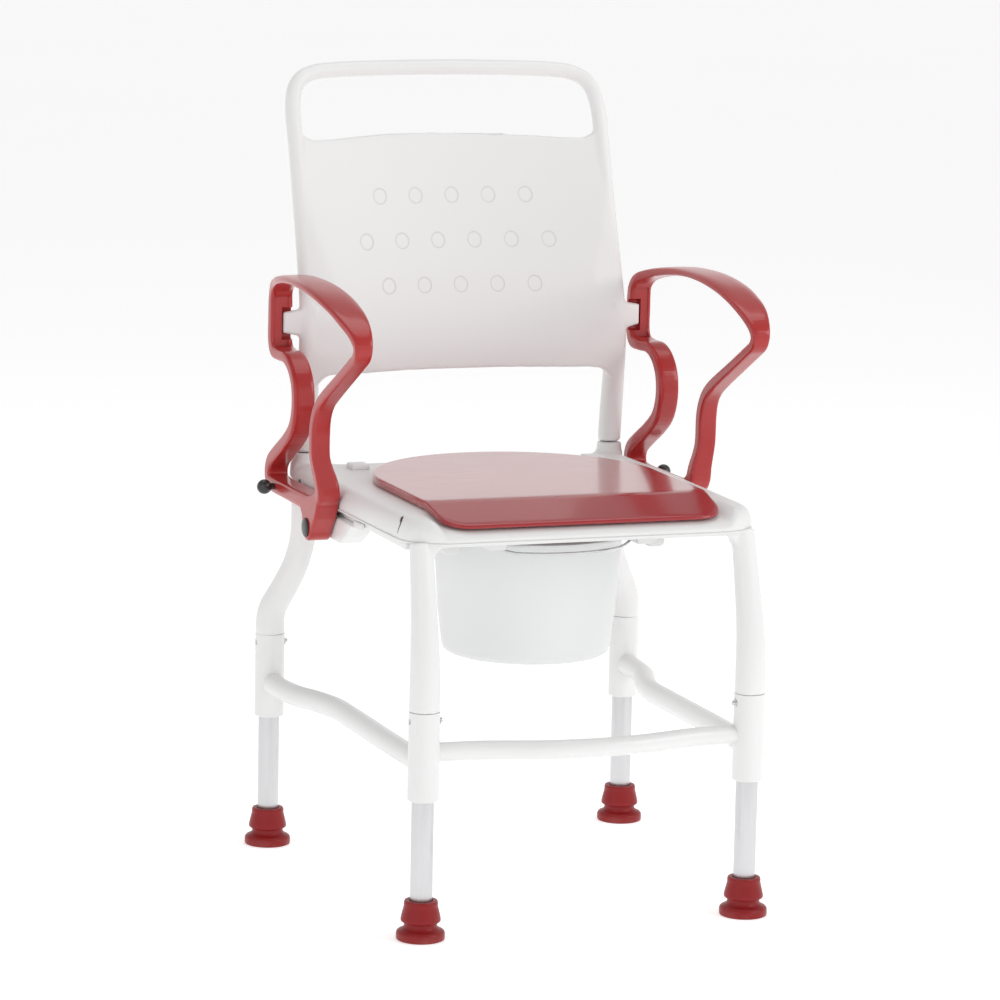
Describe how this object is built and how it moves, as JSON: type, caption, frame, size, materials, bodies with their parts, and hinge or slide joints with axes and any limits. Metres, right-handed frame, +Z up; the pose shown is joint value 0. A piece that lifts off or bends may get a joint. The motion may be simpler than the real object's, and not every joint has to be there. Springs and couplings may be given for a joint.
{
  "type": "commode chair",
  "caption": "Height-adjustable toilet chair with swing-back armrests, lift-off padded seat, slide-out bucket and a curved back with a push handle.",
  "frame": {"origin": "on the floor under the middle of the chair", "axes": "+Z up, the chair faces -Y, +X to the right of someone who faces the chair"},
  "size_m": [0.5944, 0.6505, 1.0489],
  "materials": {
    "white": "satin powder coat",
    "white_plastic": "finely grained moulding",
    "bucket_plastic": "satin",
    "arm_red": "satin",
    "upholstery": "wipe-clean satin",
    "foot_rubber": "satin",
    "black": "satin",
    "aluminium": "anodised",
    "steel": "bright"
  },
  "bodies": {
    "chair": {"front_frame": "white", "front_rail": "white", "seat": "white_plastic", "backrest": "white_plastic", "seat_rail_left": "white", "rear_leg_left": "white", "side_rail_left": "white", "arm_bracket_left": "white", "seat_tab_left": "white_plastic", "bucket_rail_left": "white_plastic", "pivot_bolt_left": "black", "pin_socket_left": "black", "seat_rail_right": "white", "rear_leg_right": "white", "side_rail_right": "white", "arm_bracket_right": "white", "seat_tab_right": "white_plastic", "bucket_rail_right": "white_plastic", "pivot_bolt_right": "black", "pin_socket_right": "black", "leg_sleeve_front_left": "white", "leg_lock_front_left": "steel", "leg_sleeve_rear_left": "white", "leg_lock_rear_left": "steel", "leg_sleeve_front_right": "white", "leg_lock_front_right": "steel", "leg_sleeve_rear_right": "white", "leg_lock_rear_right": "steel"},
    "armrest_left": {"armrest_left": "arm_red"},
    "lock_knob_left": {"lock_knob_left": "black"},
    "armrest_right": {"armrest_right": "arm_red"},
    "lock_knob_right": {"lock_knob_right": "black"},
    "leg_front_left": {"inner_tube_front_left": "aluminium", "foot_front_left": "foot_rubber"},
    "leg_rear_left": {"inner_tube_rear_left": "aluminium", "foot_rear_left": "foot_rubber"},
    "leg_front_right": {"inner_tube_front_right": "aluminium", "foot_front_right": "foot_rubber"},
    "leg_rear_right": {"inner_tube_rear_right": "aluminium", "foot_rear_right": "foot_rubber"},
    "seat_pad": {"seat_pad": "upholstery"},
    "bucket": {"bucket": "bucket_plastic"},
    "bucket_bail": {"bucket_bail": "steel"}
  },
  "joints": [
    {"name": "leg_height_front_left", "type": "slide", "parent": "chair", "child": "leg_front_left", "axis": [0, 0, 1], "range_m": [0, 0.08]},
    {"name": "leg_height_rear_left", "type": "slide", "parent": "chair", "child": "leg_rear_left", "axis": [0, 0, 1], "range_m": [0, 0.08]},
    {"name": "leg_height_front_right", "type": "slide", "parent": "chair", "child": "leg_front_right", "axis": [0, 0, 1], "range_m": [0, 0.08]},
    {"name": "leg_height_rear_right", "type": "slide", "parent": "chair", "child": "leg_rear_right", "axis": [0, 0, 1], "range_m": [0, 0.08]},
    {"name": "armrest_swing_left", "type": "hinge", "parent": "chair", "child": "armrest_left", "pos_m": [-0.257, 0.03125, 0.4672], "axis": [-1, 0, 0], "range_deg": [0, 78]},
    {"name": "knob_pull_left", "type": "slide", "parent": "armrest_left", "child": "lock_knob_left", "axis": [-1, 0, 0], "range_m": [0, 0.009], "stiffness_N_per_m": 600, "springref_m": -0.004},
    {"name": "armrest_swing_right", "type": "hinge", "parent": "chair", "child": "armrest_right", "pos_m": [0.257, 0.03125, 0.4672], "axis": [-1, 0, 0], "range_deg": [0, 78]},
    {"name": "knob_pull_right", "type": "slide", "parent": "armrest_right", "child": "lock_knob_right", "axis": [1, 0, 0], "range_m": [0, 0.009], "stiffness_N_per_m": 600, "springref_m": -0.004},
    {"name": "pad_lift", "type": "slide", "parent": "chair", "child": "seat_pad", "axis": [0, 0, 1], "range_m": [0, 0.12]},
    {"name": "bucket_pull", "type": "slide", "parent": "chair", "child": "bucket", "axis": [0, -1, 0], "range_m": [0, 0.3]},
    {"name": "bail_raise", "type": "hinge", "parent": "bucket", "child": "bucket_bail", "pos_m": [0, -0.05975, 0.471], "axis": [-0.7009, -0.7133, 0], "range_deg": [0, 8.5]}
  ]
}
